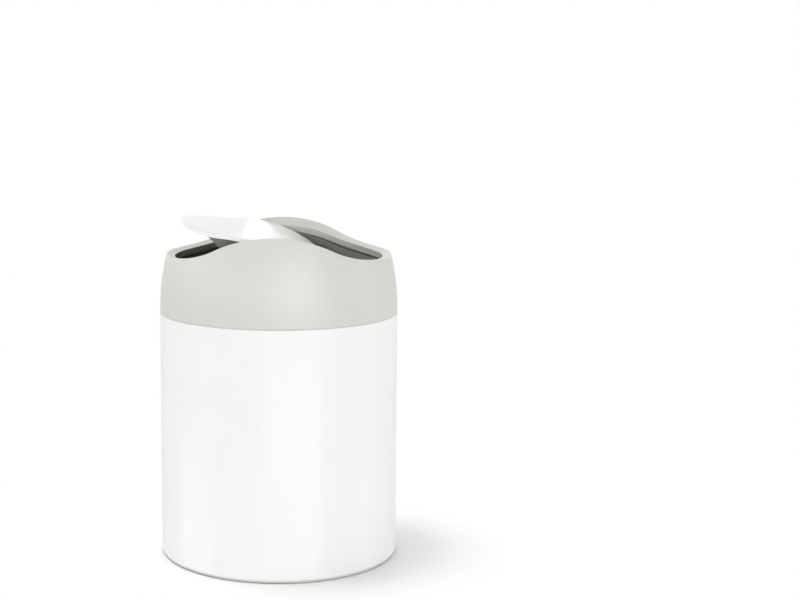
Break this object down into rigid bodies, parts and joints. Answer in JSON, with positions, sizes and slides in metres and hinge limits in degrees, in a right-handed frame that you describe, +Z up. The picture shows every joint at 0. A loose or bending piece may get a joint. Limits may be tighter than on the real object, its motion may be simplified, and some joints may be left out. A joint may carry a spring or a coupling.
{
  "type": "countertop trash can with swing lid",
  "caption": "Small round countertop trash can: white steel body, grey plastic collar with a wave-shaped rim, and a white wave-shaped swing lid shown pushed partly open.",
  "frame": {"origin": "centre of the foot, on the surface that the can stands on", "axes": "+Z up along the can's axis; the lid's pins lie along Y; +X is the side of the lid that is shown pushed down"},
  "size_m": [0.126, 0.126, 0.1795],
  "materials": {
    "white_powder_coat": "white powder-coated sheet steel, semi gloss",
    "grey_plastic": "light warm grey moulded ABS, fine satin texture",
    "white_gloss_plastic": "white moulded ABS, gloss",
    "inner_grey_plastic": "warm mid grey moulded ABS, dull, inside the collar",
    "mid_grey_plastic": "neutral mid grey moulded ABS, dull, under the lid",
    "dark_rubber": "soft dark non-slip rubber",
    "pale_rubber": "soft pale grey thermoplastic rubber",
    "white_acetal": "natural white acetal bearing plastic",
    "steel": "plain turned and stamped steel",
    "zinc_steel": "zinc-plated steel bar"
  },
  "bodies": {
    "can": {"can_tube": "white_powder_coat", "bottom_pan": "white_powder_coat", "base_ring": "grey_plastic", "foot_pads": "dark_rubber", "mouth_ring": "grey_plastic"},
    "collar": {"collar_shell": "grey_plastic", "collar_liner": "inner_grey_plastic", "grip_band": "pale_rubber", "front_bushing": "white_acetal", "rear_bushing": "white_acetal"},
    "lid": {"lid_top": "white_gloss_plastic", "lid_under": "mid_grey_plastic", "front_pivot_pin": "steel", "rear_pivot_pin": "steel", "pin_clips": "steel", "ballast_weight": "zinc_steel", "ballast_screws": "steel", "lid_screws": "steel"}
  },
  "joints": [
    {"name": "collar_lift", "type": "slide", "parent": "can", "child": "collar", "axis": [0, 0, 1], "range_m": [0, 0.04]},
    {"name": "lid_swing", "type": "hinge", "parent": "collar", "child": "lid", "pos_m": [0, 0, 0.161], "axis": [0, 1, 0], "range_deg": [-94.2, 45.8]}
  ]
}
